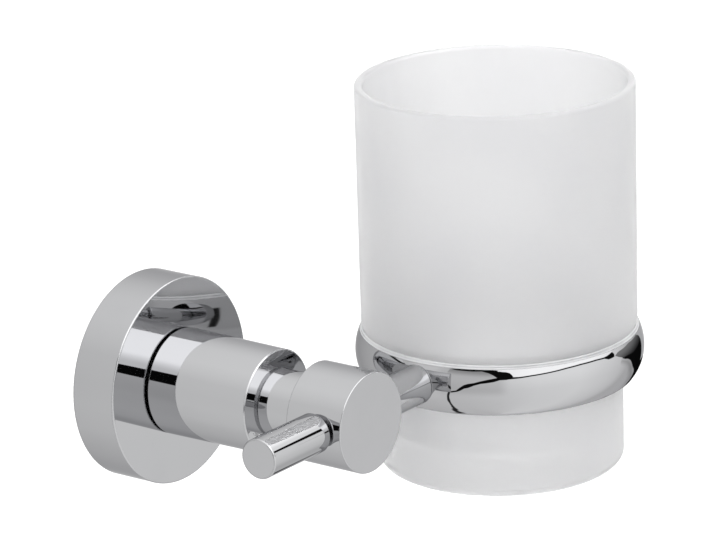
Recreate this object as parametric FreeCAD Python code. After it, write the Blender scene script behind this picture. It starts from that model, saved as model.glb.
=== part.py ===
import FreeCAD, Part
import math
import os

# Wall-mounted tumbler holder with a frosted glass tumbler.  All sizes are in millimetres.
# The origin is the middle of the bracket's back face, on the wall.
# +Y points into the wall, -Y out into the room, +Z up, and the tumbler hangs on the +X side.
# Turned pieces are drawn as (radius, height) pairs, height being the distance along their own axis:
# out from the wall for the wall line, along X for the cross bar, and up for ring and tumbler.

# Rosette, the round cover on the wall
rosette_radius = 25.4
rosette_wall = 3.0
rosette_face = 2.5
rosette_edge_round = 0.4
rosette_back_round = 0.4

# Wall bracket inside the rosette
bracket_plate = 2.5
bracket_rim = 2.5
bracket_below_face = 2.0
bracket_edge_round = 0.5
wall_hole_radius = 2.5
wall_hole_to_rim = 6.5
room_under_screw = 2.4
slide_gap = 0.4

# Post, neck and head, one behind the other on the wall line
post_back_radius = 13.05
post_taper = 0.3
post_length = 29.55
post_groove_depth = 2.2
post_groove_width = 0.58
post_back_bevel = 0.15
post_front_bevel = 0.28
neck_radius = 8.2
neck_length = 12.0
neck_bevel = 0.6
head_radius = 12.15
head_length = 15.7
head_front_round = 0.25
head_back_round = 0.2

# Cross bar: the peg on one side of the head and the arm on the other
bar_radius = 4.85
bar_to_head_front = 7.2
peg_length = 21.5
arm_length = 15.1
bar_end_round = 0.4
bar_seat_round = 0.2
bar_collar_wall = 0.65
bar_collar_length = 0.55

# Ring, its axis upright
ring_beyond_glass = 1.6
ring_below = 6.8
ring_above = 5.2
ring_underside = 1.81
ring_land = 0.35
ring_lower_round = 0.8
ring_inner_round = 0.4

# Liner, the thin plastic sleeve between ring and glass
liner_wall = 0.6
liner_below = 5.6
liner_lip = 0.9
liner_glass_gap = 0.35
liner_ring_gap = 0.05
liner_lip_inset = 0.06
liner_lip_tip = 0.09

# Tumbler
glass_shoulder_radius = 33.8
glass_rim_flare = 0.1
glass_shoulder_step = 3.65
glass_rim_height = 67.15
glass_below = 29.05
glass_shoulder_corner = 4.8
glass_shoulder_slope = 60.0
glass_shoulder_round = 5.6
glass_foot_round = 2.5
glass_waist_round = 0.8
glass_rim_wall = 2.0
glass_upper_wall = 2.2
glass_shoulder_wall = 2.4
glass_lower_wall = 2.9
glass_base = 8.4
glass_inner_shoulder_round = 4.0
glass_inner_waist_round = 2.0
glass_floor_round = 4.0
glass_punt_depth = 0.8
glass_punt_inset = 6.1
glass_punt_round = 0.5
rim_round_share = 0.45
shoulder_slope_share = 0.85
seat_gap = 0.1

# Screws and studs, each a plain cylinder at its nominal thread size
large_thread = 3.0
small_thread = 2.5
grub_thread = 2.0
thread_gap = 0.05
shank_gap = 0.3
hole_end_gap = 0.5
tapped_web = 1.2
post_screw_reach = 16.0
post_screw_head_radius = 5.25
post_screw_head = 3.3
post_screw_head_round = 1.2
post_screw_socket = 4.0
post_screw_socket_depth = 2.0
washer_radius = 5.6
washer_thickness = 1.6
washer_split = 1.2
stud_in_post = 10.0
cross_stud_in_peg = 10.0
ring_screw_in_arm = 7.0
ring_screw_sunk = 0.6
ring_screw_socket = 2.5
ring_screw_socket_depth = 1.6
grub_sunk = 0.3
grub_below_rim = 2.4
grub_point_length = 0.9
grub_point_radius = 1.0
grub_socket = 2.0
grub_socket_depth = 1.6
overrun = 1.0
same_place = 0.001

# Sizes and places that follow from the sizes above
rosette_depth = bracket_plate + room_under_screw + post_screw_head + washer_thickness + rosette_face
bracket_height = rosette_depth - rosette_face - bracket_below_face
bracket_radius = rosette_radius - rosette_wall - slide_gap
wall_hole_spacing = 2 * (bracket_radius - bracket_rim - wall_hole_to_rim)
grub_height = bracket_height - grub_below_rim
post_front_radius = post_back_radius - post_taper
post_end = rosette_depth + post_length
neck_end = post_end + neck_length
head_end = neck_end + head_length
bar_out = head_end - bar_to_head_front
stud_in_head = bar_out - neck_end - small_thread - 2 * thread_gap - tapped_web
peg_reach = head_radius + peg_length
arm_end = head_radius + arm_length
cross_stud_in_arm = arm_length - ring_screw_in_arm - 2 * hole_end_gap - tapped_web
glass_rim_radius = glass_shoulder_radius + glass_rim_flare
glass_lower_radius = glass_shoulder_radius - glass_shoulder_step
glass_punt_radius = glass_lower_radius - glass_punt_inset
ring_crown_radius = glass_shoulder_radius + ring_beyond_glass
ring_centre_reach = arm_end + ring_crown_radius
slope = math.radians(glass_shoulder_slope)
slope_corner = math.tan(math.radians(90 - glass_shoulder_slope))
slope_length = glass_shoulder_step / math.sin(slope)
shoulder_round = min(glass_shoulder_round, shoulder_slope_share * slope_length / math.tan(slope / 2))

axis_up = FreeCAD.Vector(0, 0, 1)
axis_out = FreeCAD.Vector(0, -1, 0)
axis_right = FreeCAD.Vector(1, 0, 0)
axis_left = FreeCAD.Vector(-1, 0, 0)
axis_down = FreeCAD.Vector(0, 0, -1)
origin = FreeCAD.Vector(0, 0, 0)
head_middle = FreeCAD.Vector(0, -bar_out, 0)
ring_middle = FreeCAD.Vector(ring_centre_reach, -bar_out, 0)


# Solid turned about Z.  A stop of two numbers is a straight leg to (radius, height);
# one of four numbers is an arc through the first pair to the second.
def turned(stops):
    spots = [FreeCAD.Vector(stop[-2], 0, stop[-1]) for stop in stops]
    legs = []
    for before, stop, end in zip(spots, stops[1:] + stops[:1], spots[1:] + spots[:1]):
        if len(stop) == 4:
            legs.append(Part.Arc(before, FreeCAD.Vector(stop[0], 0, stop[1]), end).toShape())
        else:
            legs.append(Part.LineSegment(before, end).toShape())
    face = Part.Face(Part.Wire(legs))
    return face.revolve(origin, axis_up, 360)


# Plain cylinder about Z between two heights.
def rod(radius, low, high):
    return turned([(0, low), (radius, low), (radius, high), (0, high)])


# The circular edges of a turned solid at the stated (radius, height) places.
def edges_at(solid, places):
    found = []
    for edge in solid.Edges:
        if not isinstance(edge.Curve, Part.Circle):
            continue
        for radius, height in places:
            same_radius = abs(edge.Curve.Radius - radius) < same_place
            if same_radius and abs(edge.Curve.Center.z - height) < same_place:
                found.append(edge)
    return found


def rounded(solid, size, *places):
    return solid.makeFillet(size, edges_at(solid, places))


def bevelled(solid, size, *places):
    return solid.makeChamfer(size, edges_at(solid, places))


# Hexagonal prism about Z, for a key socket.
def hexagon(across, low, high):
    corner = across / 2 / math.cos(math.pi / 6)
    turns = [math.pi / 3 * step for step in range(7)]
    outline = [FreeCAD.Vector(corner * math.cos(t), corner * math.sin(t), low) for t in turns]
    return Part.Face(Part.makePolygon(outline)).extrude(axis_up * (high - low))


# Moves a solid drawn about Z to stand at a place with its axis along a direction.
def placed(solid, place, axis):
    moved = solid.copy()
    moved.Placement = FreeCAD.Placement(place, FreeCAD.Rotation(axis_up, axis))
    return moved


# Height on the glass shoulder's straight slope, moved outwards by an offset, at a radius.
def slope_height(radius, offset):
    corner_radius = glass_shoulder_radius + offset
    corner_height = glass_shoulder_corner - offset * slope_corner
    return corner_height - (corner_radius - radius) / math.tan(slope)


# Corner between the shoulder slope and the upright wall, moved outwards by an offset.
def shoulder_corner(offset):
    radius = glass_shoulder_radius + offset
    return radius, slope_height(radius, offset)


# Halfway point of the ring's bulging outside, between its widest line and an edge above or below.
def bulge_middle(edge_radius, height):
    inset = ring_crown_radius - edge_radius
    bulge_round = (inset ** 2 + height ** 2) / (2 * inset)
    half = height / 2
    return ring_crown_radius - bulge_round + math.sqrt(bulge_round ** 2 - half ** 2), half


# Radius of the rounded shoulder's surface, moved outwards by an offset, at a height.
def shoulder_radius_at(height, offset):
    corner_radius, corner_height = shoulder_corner(offset)
    arc = shoulder_round + offset
    arc_start = corner_height + arc * math.tan(slope / 2)
    return corner_radius - arc + math.sqrt(arc ** 2 - (arc_start - height) ** 2)


# Arc stop that runs down the rounded shoulder from a height to where the straight slope begins.
def shoulder_arc_stop(height, offset):
    arc = shoulder_round + offset
    corner_radius, corner_height = shoulder_corner(offset)
    arc_start = corner_height + arc * math.tan(slope / 2)
    end = corner_radius - arc + arc * math.cos(slope), arc_start - arc * math.sin(slope)
    middle_height = (height + end[1]) / 2
    return shoulder_radius_at(middle_height, offset), middle_height, end[0], end[1]


# Pressed steel dish screwed to the wall.
def wall_bracket():
    inside = bracket_radius - bracket_rim
    dish = turned([(0, 0), (bracket_radius, 0), (bracket_radius, bracket_height),
                   (inside, bracket_height), (inside, bracket_plate), (0, bracket_plate)])
    dish = rounded(dish, bracket_edge_round, (bracket_radius, bracket_height), (inside, bracket_height))
    dish = rounded(dish, bracket_edge_round, (bracket_radius, 0), (inside, bracket_plate))
    hole = rod(wall_hole_radius, -overrun, bracket_plate + overrun)
    for side in (-1, 1):
        dish = dish.cut(placed(hole, FreeCAD.Vector(0, side * wall_hole_spacing / 2, 0), axis_up))
    dish = placed(dish, origin, axis_out)
    return dish.cut(placed(grub_pocket(), FreeCAD.Vector(0, -grub_height, 0), axis_down))


# Distances down from the wall line to the grub screw's tip, shoulder and outer end.
def grub_span():
    outer = rosette_radius - grub_sunk
    shoulder = bracket_radius + slide_gap / 2
    return shoulder - grub_point_length - slide_gap / 2, shoulder, outer


# Cone drilled into the bracket's rim for the grub screw's point.
def grub_pocket():
    tip, shoulder, outer = grub_span()
    wide = grub_thread + seat_gap
    narrow = grub_point_radius + seat_gap
    return turned([(0, tip - seat_gap), (narrow, tip - seat_gap), (wide, shoulder), (0, shoulder)])


# Headless screw through the rosette's underside, its point in the bracket's rim.
def rosette_grub_screw():
    tip, shoulder, outer = grub_span()
    screw = turned([(0, tip), (grub_point_radius, tip), (grub_thread, shoulder),
                    (grub_thread, outer), (0, outer)])
    screw = screw.cut(hexagon(grub_socket, outer - grub_socket_depth, outer + overrun))
    return placed(screw, FreeCAD.Vector(0, -grub_height, 0), axis_down)


# Hollow round cover over the bracket, open towards the wall.
def rosette():
    inside = rosette_radius - rosette_wall
    floor = rosette_depth - rosette_face
    bore = large_thread + shank_gap
    cover = turned([(bore, floor), (inside, floor), (inside, 0), (rosette_radius, 0),
                    (rosette_radius, rosette_depth), (bore, rosette_depth)])
    cover = rounded(cover, rosette_edge_round, (rosette_radius, rosette_depth), (inside, floor))
    cover = rounded(cover, rosette_back_round, (rosette_radius, 0))
    cover = placed(cover, origin, axis_out)
    tapped = rod(grub_thread + thread_gap, inside - overrun, rosette_radius + overrun)
    return cover.cut(placed(tapped, FreeCAD.Vector(0, -grub_height, 0), axis_down))


# Button-head screw from inside the rosette into the post.
def post_screw():
    under = rosette_depth - rosette_face - washer_thickness
    top = under - post_screw_head
    screw = turned([(0, top), (post_screw_head_radius, top), (post_screw_head_radius, under),
                    (large_thread, under), (large_thread, under + post_screw_reach),
                    (0, under + post_screw_reach)])
    screw = rounded(screw, post_screw_head_round, (post_screw_head_radius, top))
    screw = screw.cut(hexagon(post_screw_socket, top - overrun, top + post_screw_socket_depth))
    return placed(screw, origin, axis_out)


# Split spring washer under that screw's head.
def lock_washer():
    top = rosette_depth - rosette_face
    bore = large_thread + shank_gap
    ring = turned([(bore, top - washer_thickness), (washer_radius, top - washer_thickness),
                   (washer_radius, top), (bore, top)])
    split = Part.makeBox(washer_radius + overrun, washer_split, washer_thickness + 2 * overrun,
                         FreeCAD.Vector(0, -washer_split / 2, top - washer_thickness - overrun))
    return placed(ring.cut(split), origin, axis_out)


# Slightly tapered post, bored and tapped at both ends.  A shadow groove parts it from the rosette.
def post():
    groove_radius = post_back_radius - post_groove_depth
    groove_end = rosette_depth + post_groove_width
    body = turned([(0, rosette_depth), (groove_radius, rosette_depth), (groove_radius, groove_end),
                   (post_back_radius, groove_end), (post_front_radius, post_end), (0, post_end)])
    body = bevelled(body, post_back_bevel, (post_back_radius, groove_end))
    body = bevelled(body, post_front_bevel, (post_front_radius, post_end))
    bore = large_thread + thread_gap
    screw_end = rosette_depth - rosette_face - washer_thickness + post_screw_reach
    body = body.cut(rod(bore, rosette_depth - overrun, screw_end + hole_end_gap))
    body = body.cut(rod(bore, post_end - stud_in_post - hole_end_gap, post_end + overrun))
    return placed(body, origin, axis_out)


# Narrow spacer between post and head.
def neck():
    bore = large_thread + shank_gap
    sleeve = turned([(bore, post_end), (neck_radius, post_end),
                     (neck_radius, neck_end), (bore, neck_end)])
    sleeve = bevelled(sleeve, neck_bevel, (neck_radius, post_end))
    return placed(sleeve, origin, axis_out)


# Threaded rod that holds post, neck and head together.
def neck_stud():
    return placed(rod(large_thread, post_end - stud_in_post, neck_end + stud_in_head), origin, axis_out)


# Short cylinder, drilled from the back for the stud and crosswise for the bar.
def head():
    body = rod(head_radius, neck_end, head_end)
    body = rounded(body, head_front_round, (head_radius, head_end))
    body = rounded(body, head_back_round, (head_radius, neck_end))
    stud_hole_end = neck_end + stud_in_head + thread_gap
    body = body.cut(rod(large_thread + thread_gap, neck_end - overrun, stud_hole_end))
    body = placed(body, origin, axis_out)
    across = rod(small_thread + thread_gap, -head_radius - overrun, head_radius + overrun)
    return body.cut(placed(across, head_middle, axis_right))


# Headless rod through the head into peg and arm.
def cross_stud():
    rod_left = -head_radius - cross_stud_in_peg
    return placed(rod(small_thread, rod_left, head_radius + cross_stud_in_arm), head_middle, axis_right)


# Round bar about Z from its seat on the head to its free end, with a thin collar at the seat that
# keeps the bar's full width off the round head.
def bar_stock(seat, end):
    collar = small_thread + thread_gap + bar_collar_wall
    step = seat + bar_collar_length
    bar = turned([(0, seat), (collar, seat), (collar, step), (bar_radius, step),
                  (bar_radius, end), (0, end)])
    bar = rounded(bar, bar_seat_round, (bar_radius, step))
    return rounded(bar, bar_end_round, (bar_radius, end))


# Plain bar on the side away from the tumbler.
def peg():
    seat = head_radius + thread_gap
    bar = bar_stock(seat, peg_reach)
    bore_end = head_radius + cross_stud_in_peg + hole_end_gap
    bar = bar.cut(rod(small_thread + thread_gap, seat - overrun, bore_end))
    return placed(bar, head_middle, axis_left)


# Bar between head and ring, the same stock as the peg.
def arm():
    seat = head_radius + thread_gap
    end = arm_end - thread_gap
    bore = small_thread + thread_gap
    bar = bar_stock(seat, end)
    bar = bar.cut(rod(bore, seat - overrun, head_radius + cross_stud_in_arm + hole_end_gap))
    bar = bar.cut(rod(bore, arm_end - ring_screw_in_arm - hole_end_gap, end + overrun))
    return placed(bar, head_middle, axis_right)


# Radii of the sleeve: inside and outside of the liner, inside of the ring.
def sleeve_radii():
    inner = glass_lower_radius + liner_glass_gap
    outer = inner + liner_wall
    return inner, outer, outer + liner_ring_gap


# Headless screw from inside the ring into the arm.
def ring_screw():
    inner, outer, bore = sleeve_radii()
    top = ring_centre_reach - bore - ring_screw_sunk
    screw = rod(small_thread, arm_end - ring_screw_in_arm, top)
    screw = screw.cut(hexagon(ring_screw_socket, top - ring_screw_socket_depth, top + overrun))
    return placed(screw, head_middle, axis_right)


# Inner and outer radius of the ring's narrow upper face, beside the glass shoulder.
def ring_land_radii():
    inside = shoulder_radius_at(ring_above, seat_gap + liner_wall + liner_ring_gap)
    return inside, inside + ring_land


# Ring of D section: bulging outside, flat underside, and an inside that follows the glass shoulder.
def ring():
    inner, outer, bore = sleeve_radii()
    offset = seat_gap + liner_wall + liner_ring_gap
    land_inside, land_outside = ring_land_radii()
    low_radius = bore + ring_underside
    low_middle = bulge_middle(low_radius, -ring_below)
    high_middle = bulge_middle(land_outside, ring_above)
    body = turned([(bore, -ring_below), (low_radius, -ring_below),
                   (low_middle[0], low_middle[1], ring_crown_radius, 0),
                   (high_middle[0], high_middle[1], land_outside, ring_above),
                   (land_inside, ring_above),
                   shoulder_arc_stop(ring_above, offset), (bore, slope_height(bore, offset))])
    body = rounded(body, ring_lower_round, (low_radius, -ring_below))
    body = rounded(body, ring_inner_round, (bore, -ring_below))
    body = placed(body, ring_middle, axis_up)
    tapped = rod(small_thread + thread_gap, arm_end - overrun, ring_centre_reach - bore + overrun)
    return body.cut(placed(tapped, head_middle, axis_right))


# Thin sleeve with a lip that lies on the ring's upper edge and carries the glass.
def ring_liner():
    inner, outer, bore = sleeve_radii()
    far = seat_gap + liner_wall
    land_inside, land_outside = ring_land_radii()
    lip_top = ring_above + liner_lip
    lip_inside = shoulder_radius_at(lip_top, seat_gap)
    down = shoulder_arc_stop(lip_top, seat_gap)
    up = shoulder_arc_stop(ring_above, far)
    start = shoulder_radius_at(ring_above, far)
    sleeve = turned([(inner, -liner_below), (outer, -liner_below), (outer, slope_height(outer, far)),
                     (up[2], up[3]), (up[0], up[1], start, ring_above),
                     (land_outside - liner_lip_inset, ring_above), (lip_inside + liner_lip_tip, lip_top),
                     (lip_inside, lip_top), down, (inner, slope_height(inner, seat_gap))])
    return placed(sleeve, ring_middle, axis_up)


# Glass with an upright upper body, a rounded shoulder, a narrower lower body and a thick base.
def tumbler():
    bottom = -glass_below
    floor = bottom + glass_base
    upper_inside = glass_shoulder_radius - glass_upper_wall
    lower_inside = glass_lower_radius - glass_lower_wall
    waist = slope_height(glass_lower_radius, 0)
    inner_shoulder = slope_height(upper_inside, -glass_shoulder_wall)
    inner_waist = slope_height(lower_inside, -glass_shoulder_wall)
    rim_inside = glass_rim_radius - glass_rim_wall
    punt_top = bottom + glass_punt_depth
    punt_edge = glass_punt_radius + glass_punt_depth
    glass = turned([(0, punt_top), (glass_punt_radius, punt_top), (punt_edge, bottom),
                    (glass_lower_radius, bottom), (glass_lower_radius, waist),
                    (glass_shoulder_radius, glass_shoulder_corner), (glass_rim_radius, glass_rim_height),
                    (rim_inside, glass_rim_height), (upper_inside, inner_shoulder),
                    (lower_inside, inner_waist), (lower_inside, floor), (0, floor)])
    glass = rounded(glass, glass_foot_round, (glass_lower_radius, bottom))
    glass = rounded(glass, glass_punt_round, (punt_edge, bottom))
    glass = rounded(glass, glass_waist_round, (glass_lower_radius, waist))
    glass = rounded(glass, shoulder_round, (glass_shoulder_radius, glass_shoulder_corner))
    rim_edges = (glass_rim_radius, glass_rim_height), (rim_inside, glass_rim_height)
    glass = rounded(glass, glass_rim_wall * rim_round_share, *rim_edges)
    glass = rounded(glass, glass_inner_shoulder_round, (upper_inside, inner_shoulder))
    glass = rounded(glass, glass_inner_waist_round, (lower_inside, inner_waist))
    glass = rounded(glass, glass_floor_round, (lower_inside, floor))
    return placed(glass, ring_middle, axis_up)


pieces = [wall_bracket, rosette, rosette_grub_screw, lock_washer, post_screw, post, neck, neck_stud,
          head, cross_stud, peg, arm, ring, ring_screw, ring_liner, tumbler]
os.makedirs("parts", exist_ok=True)
for make in pieces:
    solid = make()
    solid.exportStep("parts/" + make.__name__ + ".step")
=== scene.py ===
import math
import bpy
import numpy as np
from mathutils import Matrix, Vector


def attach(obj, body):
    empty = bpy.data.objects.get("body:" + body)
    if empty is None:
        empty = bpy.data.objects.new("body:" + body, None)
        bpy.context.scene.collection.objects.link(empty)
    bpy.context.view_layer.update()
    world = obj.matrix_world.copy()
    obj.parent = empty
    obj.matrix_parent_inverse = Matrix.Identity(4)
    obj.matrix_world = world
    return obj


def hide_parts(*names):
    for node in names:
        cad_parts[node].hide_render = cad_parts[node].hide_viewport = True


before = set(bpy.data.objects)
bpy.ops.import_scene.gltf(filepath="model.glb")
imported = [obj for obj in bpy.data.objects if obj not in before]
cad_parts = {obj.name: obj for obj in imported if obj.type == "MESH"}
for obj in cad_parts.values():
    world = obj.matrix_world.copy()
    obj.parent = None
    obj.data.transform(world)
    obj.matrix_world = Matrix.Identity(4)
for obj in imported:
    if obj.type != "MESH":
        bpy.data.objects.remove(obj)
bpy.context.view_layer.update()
print("frame loaded,", len(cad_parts), "nodes")

mm = 0.001


# The camera's place, worked out from the photograph
viewPoint = {
    "azimuth": -52.828,        # degrees, 0 looks along +Y
    "elevation": 17.665,
    "roll": -1.694,
    "distance": 1.0599,        # m, as target and clip
    "target": (0.035602, -0.040, 0.022767),
    "focal": 220.56,           # mm, as the sensor
    "sensor": 36,
    "clip": (0.05, 60),
}


# Camera from angles: it stands at target + distance * back, where back is the unit vector of azimuth
# and elevation, and its side and up vectors are turned about back by the roll.
def addCamera(v):
    az, el, roll = (math.radians(v[k]) for k in ("azimuth", "elevation", "roll"))
    back = Vector((math.sin(az) * math.cos(el), -math.cos(az) * math.cos(el), math.sin(el)))
    side = Vector((0, 0, 1)).cross(back).normalized()
    up = back.cross(side)
    sideRolled = side * math.cos(roll) + up * math.sin(roll)
    upRolled = up * math.cos(roll) - side * math.sin(roll)
    lens = bpy.data.cameras.new("photoCamera")
    lens.lens, lens.sensor_width = v["focal"], v["sensor"]
    lens.clip_start, lens.clip_end = v["clip"]
    camera = bpy.data.objects.new("photoCamera", lens)
    turn = Matrix((sideRolled, upRolled, back)).transposed().to_4x4()
    camera.matrix_world = Matrix.Translation(Vector(v["target"]) + back * v["distance"]) @ turn
    bpy.context.scene.collection.objects.link(camera)
    bpy.context.scene.camera = camera


addCamera(viewPoint)
bpy.context.scene.view_settings.view_transform = "Standard"
print("camera placed")


# Small helpers for node trees
def fill(tree, slot, value):                       # links an output to a slot, or writes a value
    if isinstance(value, bpy.types.NodeSocket):
        tree.links.new(value, slot)
    else:
        slot.default_value = value


def put(tree, kind, values=None, **settings):      # adds a node, links or fills its inputs
    node = tree.nodes.new(kind)
    for key, value in settings.items():
        setattr(node, key, value)
    for key, value in (values or {}).items():
        fill(tree, node.inputs[key], value)
    return node


def calc(tree, operation, *values):                # one math node, gives its output
    node = put(tree, "ShaderNodeMath", operation=operation)
    for slot, value in zip(node.inputs, values):
        fill(tree, slot, value)
    return node.outputs[0]


def times(tree, a, b):
    return calc(tree, "MULTIPLY", a, b)


def plus(tree, base, mask, amount):                # base + mask * amount
    return calc(tree, "ADD", base, times(tree, mask, amount))


def ease(tree, value, low, high, toLow=0.0, toHigh=1.0):     # smooth step between two limits
    limits = {"Value": value, "From Min": low, "From Max": high, "To Min": toLow, "To Max": toHigh}
    return put(tree, "ShaderNodeMapRange", limits, interpolation_type="SMOOTHSTEP").outputs["Result"]


def blendOf(tree, factor, a, b, kind="RGBA"):      # a where the factor is 0, b where it is 1
    node = put(tree, "ShaderNodeMix", data_type=kind)
    *places, result = {"RGBA": (0, 6, 7, 2), "FLOAT": (0, 2, 3, 0)}[kind]
    for place, value in zip(places, (factor, a, b)):
        fill(tree, node.inputs[place], (*value, 1) if isinstance(value, tuple) else value)
    return node.outputs[result]


# Noise with patches of a size in metres, which may come from a socket
def noiseOf(tree, position, size, detail, roughness):
    scale = 1 / size if isinstance(size, float) else calc(tree, "DIVIDE", 1.0, size)
    return put(tree, "ShaderNodeTexNoise", {"Vector": position, "Scale": scale, "Detail": detail,
                                            "Roughness": roughness}).outputs["Fac"]


def bumpOf(tree, height, depth, strength=1.0, **more):
    values = {"Height": height, "Distance": depth, "Strength": strength, **more}
    return put(tree, "ShaderNodeBump", values).outputs[0]


def newGroup(name, inputs, outputs):               # empty shader group with named sockets
    group = bpy.data.node_groups.new(name, "ShaderNodeTree")
    for label, kind, value in inputs:
        socket = group.interface.new_socket(label, in_out="INPUT", socket_type=kind)
        if value is not None:
            socket.default_value = value
    for label, kind in outputs:
        group.interface.new_socket(label, in_out="OUTPUT", socket_type=kind)
    return group, group.nodes.new("NodeGroupInput"), group.nodes.new("NodeGroupOutput")


number, vector = "NodeSocketFloat", "NodeSocketVector"

# Effects that several materials share. Sizes are in metres, details are (detail, roughness) of the
# noise, and a span is where a noise fades in.
handlingLook = {"hazeSize": 0.02, "hazeDetail": (5.0, 0.6), "hazeSpan": (0.42, 0.68),
                "wipeSize": 0.0007, "wipeDetail": (2.0, 0.5), "wipeSpan": (0.58, 0.72),
                "wipeTurn": (0.5, 0.3, 0.9), "wipeStretch": (1.0, 0.06, 0.25),
                "waveSize": 0.012, "waveDetail": (1.0, 0.5)}


def handlingGroup(look):                           # haze, wipe marks and waves of a handled surface
    group, given, made = newGroup("handling", [
        ("Position", vector, None), ("Haze Size", number, look["hazeSize"]),
        ("Wipe Size", number, look["wipeSize"]), ("Wave Size", number, look["waveSize"])],
        [("Haze", number), ("Wipes", number), ("Waves", number)])
    g = given.outputs
    haze = noiseOf(group, g["Position"], g["Haze Size"], *look["hazeDetail"])
    group.links.new(ease(group, haze, *look["hazeSpan"]), made.inputs["Haze"])
    bent = put(group, "ShaderNodeMapping", {"Vector": g["Position"], "Rotation": look["wipeTurn"],
                                            "Scale": look["wipeStretch"]}).outputs[0]
    wipes = noiseOf(group, bent, g["Wipe Size"], *look["wipeDetail"])
    group.links.new(ease(group, wipes, *look["wipeSpan"]), made.inputs["Wipes"])
    waves = noiseOf(group, g["Position"], g["Wave Size"], *look["waveDetail"])
    group.links.new(waves, made.inputs["Waves"])
    return group


edgeLook = {"patchSize": 0.003, "patchDetail": (4.0, 0.5), "breakUp": 0.9, "wornSpan": (0.55, 1.1)}


def edgeGroup(look):                               # rubbed edges: the edge attribute broken up by noise
    group, given, made = newGroup("edgeWear", [
        ("Edge", number, 0.0), ("Position", vector, None),
        ("Patch Size", number, look["patchSize"])], [("Worn", number)])
    g = given.outputs
    patches = noiseOf(group, g["Position"], g["Patch Size"], *look["patchDetail"])
    lifted = plus(group, g["Edge"], calc(group, "SUBTRACT", patches, 0.5), look["breakUp"])
    group.links.new(ease(group, lifted, *look["wornSpan"]), made.inputs["Worn"])
    return group


handling, edgeWear = handlingGroup(handlingLook), edgeGroup(edgeLook)


def useGroup(tree, group, values):
    return put(tree, "ShaderNodeGroup", values, node_tree=group).outputs


def marksOf(tree, position, look):                 # handling marks in the finish's own sizes
    return useGroup(tree, handling, {"Position": position, "Haze Size": look["hazeSize"],
                                     "Wipe Size": look["wipeSize"]})


def wornOf(tree, position, look):
    edge = put(tree, "ShaderNodeAttribute", attribute_name="edge").outputs["Fac"]
    return useGroup(tree, edgeWear, {"Edge": edge, "Position": position,
                                     "Patch Size": look["patchSize"]})["Worn"]


def newMaterial(name):                             # material, its tree and shader, object position
    material = bpy.data.materials.new(name)
    material.use_nodes = True
    tree = material.node_tree
    tree.nodes.clear()
    shader = put(tree, "ShaderNodeBsdfPrincipled")
    put(tree, "ShaderNodeOutputMaterial", {"Surface": shader.outputs[0]})
    return material, tree, shader, put(tree, "ShaderNodeTexCoord").outputs["Object"]


def dress(tree, shader, values):                   # links or fills the shader's sockets
    for key, value in values.items():
        fill(tree, shader.inputs[key], value)


# The finishes, each with what can be changed in it above its function
chromeLook = {"tint": (0.545, 0.547, 0.557), "hazeTint": (0.523, 0.526, 0.537), "hazeShare": 0.5,
              "hazeSize": 0.02, "wipeSize": 0.0007, "patchSize": 0.003, "roughness": 0.018,
              "hazeRough": 0.020, "wipeRough": 0.03, "wornRough": 0.22, "waveDepth": 0.0000012,
              "wipeDepth": 0.0000003, "grazing": (0.60, 0.60, 0.61)}


def polishedChrome(look):                          # its reflection dims at grazing angles
    material, tree, shader, position = newMaterial("polishedChrome")
    marks = marksOf(tree, position, look)
    hazy = times(tree, marks["Haze"], look["hazeShare"])
    wiped = times(tree, marks["Wipes"], marks["Haze"])
    rough = plus(tree, look["roughness"], marks["Haze"], look["hazeRough"])
    rough = plus(tree, rough, wiped, look["wipeRough"])
    rough = plus(tree, rough, wornOf(tree, position, look), look["wornRough"])
    wave = bumpOf(tree, marks["Waves"], look["waveDepth"])
    dress(tree, shader, {
        "Base Color": blendOf(tree, hazy, look["tint"], look["hazeTint"]), "Roughness": rough,
        "Normal": bumpOf(tree, marks["Wipes"], look["wipeDepth"], Normal=wave),
        "Metallic": 1.0, "Specular Tint": (*look["grazing"], 1)})
    return material


glassLook = {"tint": (0.955, 0.955, 0.961), "cloud": (0.920, 0.920, 0.930), "cloudSize": 0.018,
             "cloudDetail": (4.0, 0.55), "cloudSpan": (0.40, 0.65), "grainSize": 0.00022,
             "grainDetail": (3.0, 0.65), "grainDepth": 0.000003, "roughness": 0.52,
             "grainRough": 0.12, "patchSize": 0.006, "wornRough": -0.10, "through": 0.70,
             "index": 1.5, "sheen": 0.60, "sheenRough": 0.45}


def frostedGlass(look):
    material, tree, shader, position = newMaterial("frostedGlass")
    grain = noiseOf(tree, position, look["grainSize"], *look["grainDetail"])
    cloud = noiseOf(tree, position, look["cloudSize"], *look["cloudDetail"])
    cloudy = ease(tree, cloud, *look["cloudSpan"])
    centred = calc(tree, "SUBTRACT", grain, 0.5)
    rough = plus(tree, look["roughness"], centred, look["grainRough"])
    rough = plus(tree, rough, wornOf(tree, position, look), look["wornRough"])
    dress(tree, shader, {
        "Base Color": blendOf(tree, cloudy, look["tint"], look["cloud"]), "Roughness": rough,
        "Normal": bumpOf(tree, grain, look["grainDepth"]),
        "Transmission Weight": look["through"], "IOR": look["index"],
        "Sheen Weight": look["sheen"], "Sheen Roughness": look["sheenRough"]})
    return material


linerLook = {"tint": (0.75, 0.755, 0.765), "shade": (0.66, 0.665, 0.675), "hazeSize": 0.008,
             "wipeSize": 0.0004, "roughness": 0.38, "hazeRough": 0.12, "wipeDepth": 0.000004,
             "wipeStrength": 0.6, "index": 1.45, "inner": 0.15, "innerReach": (1.0, 1.0, 1.0),
             "innerScale": 0.0006}


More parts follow.
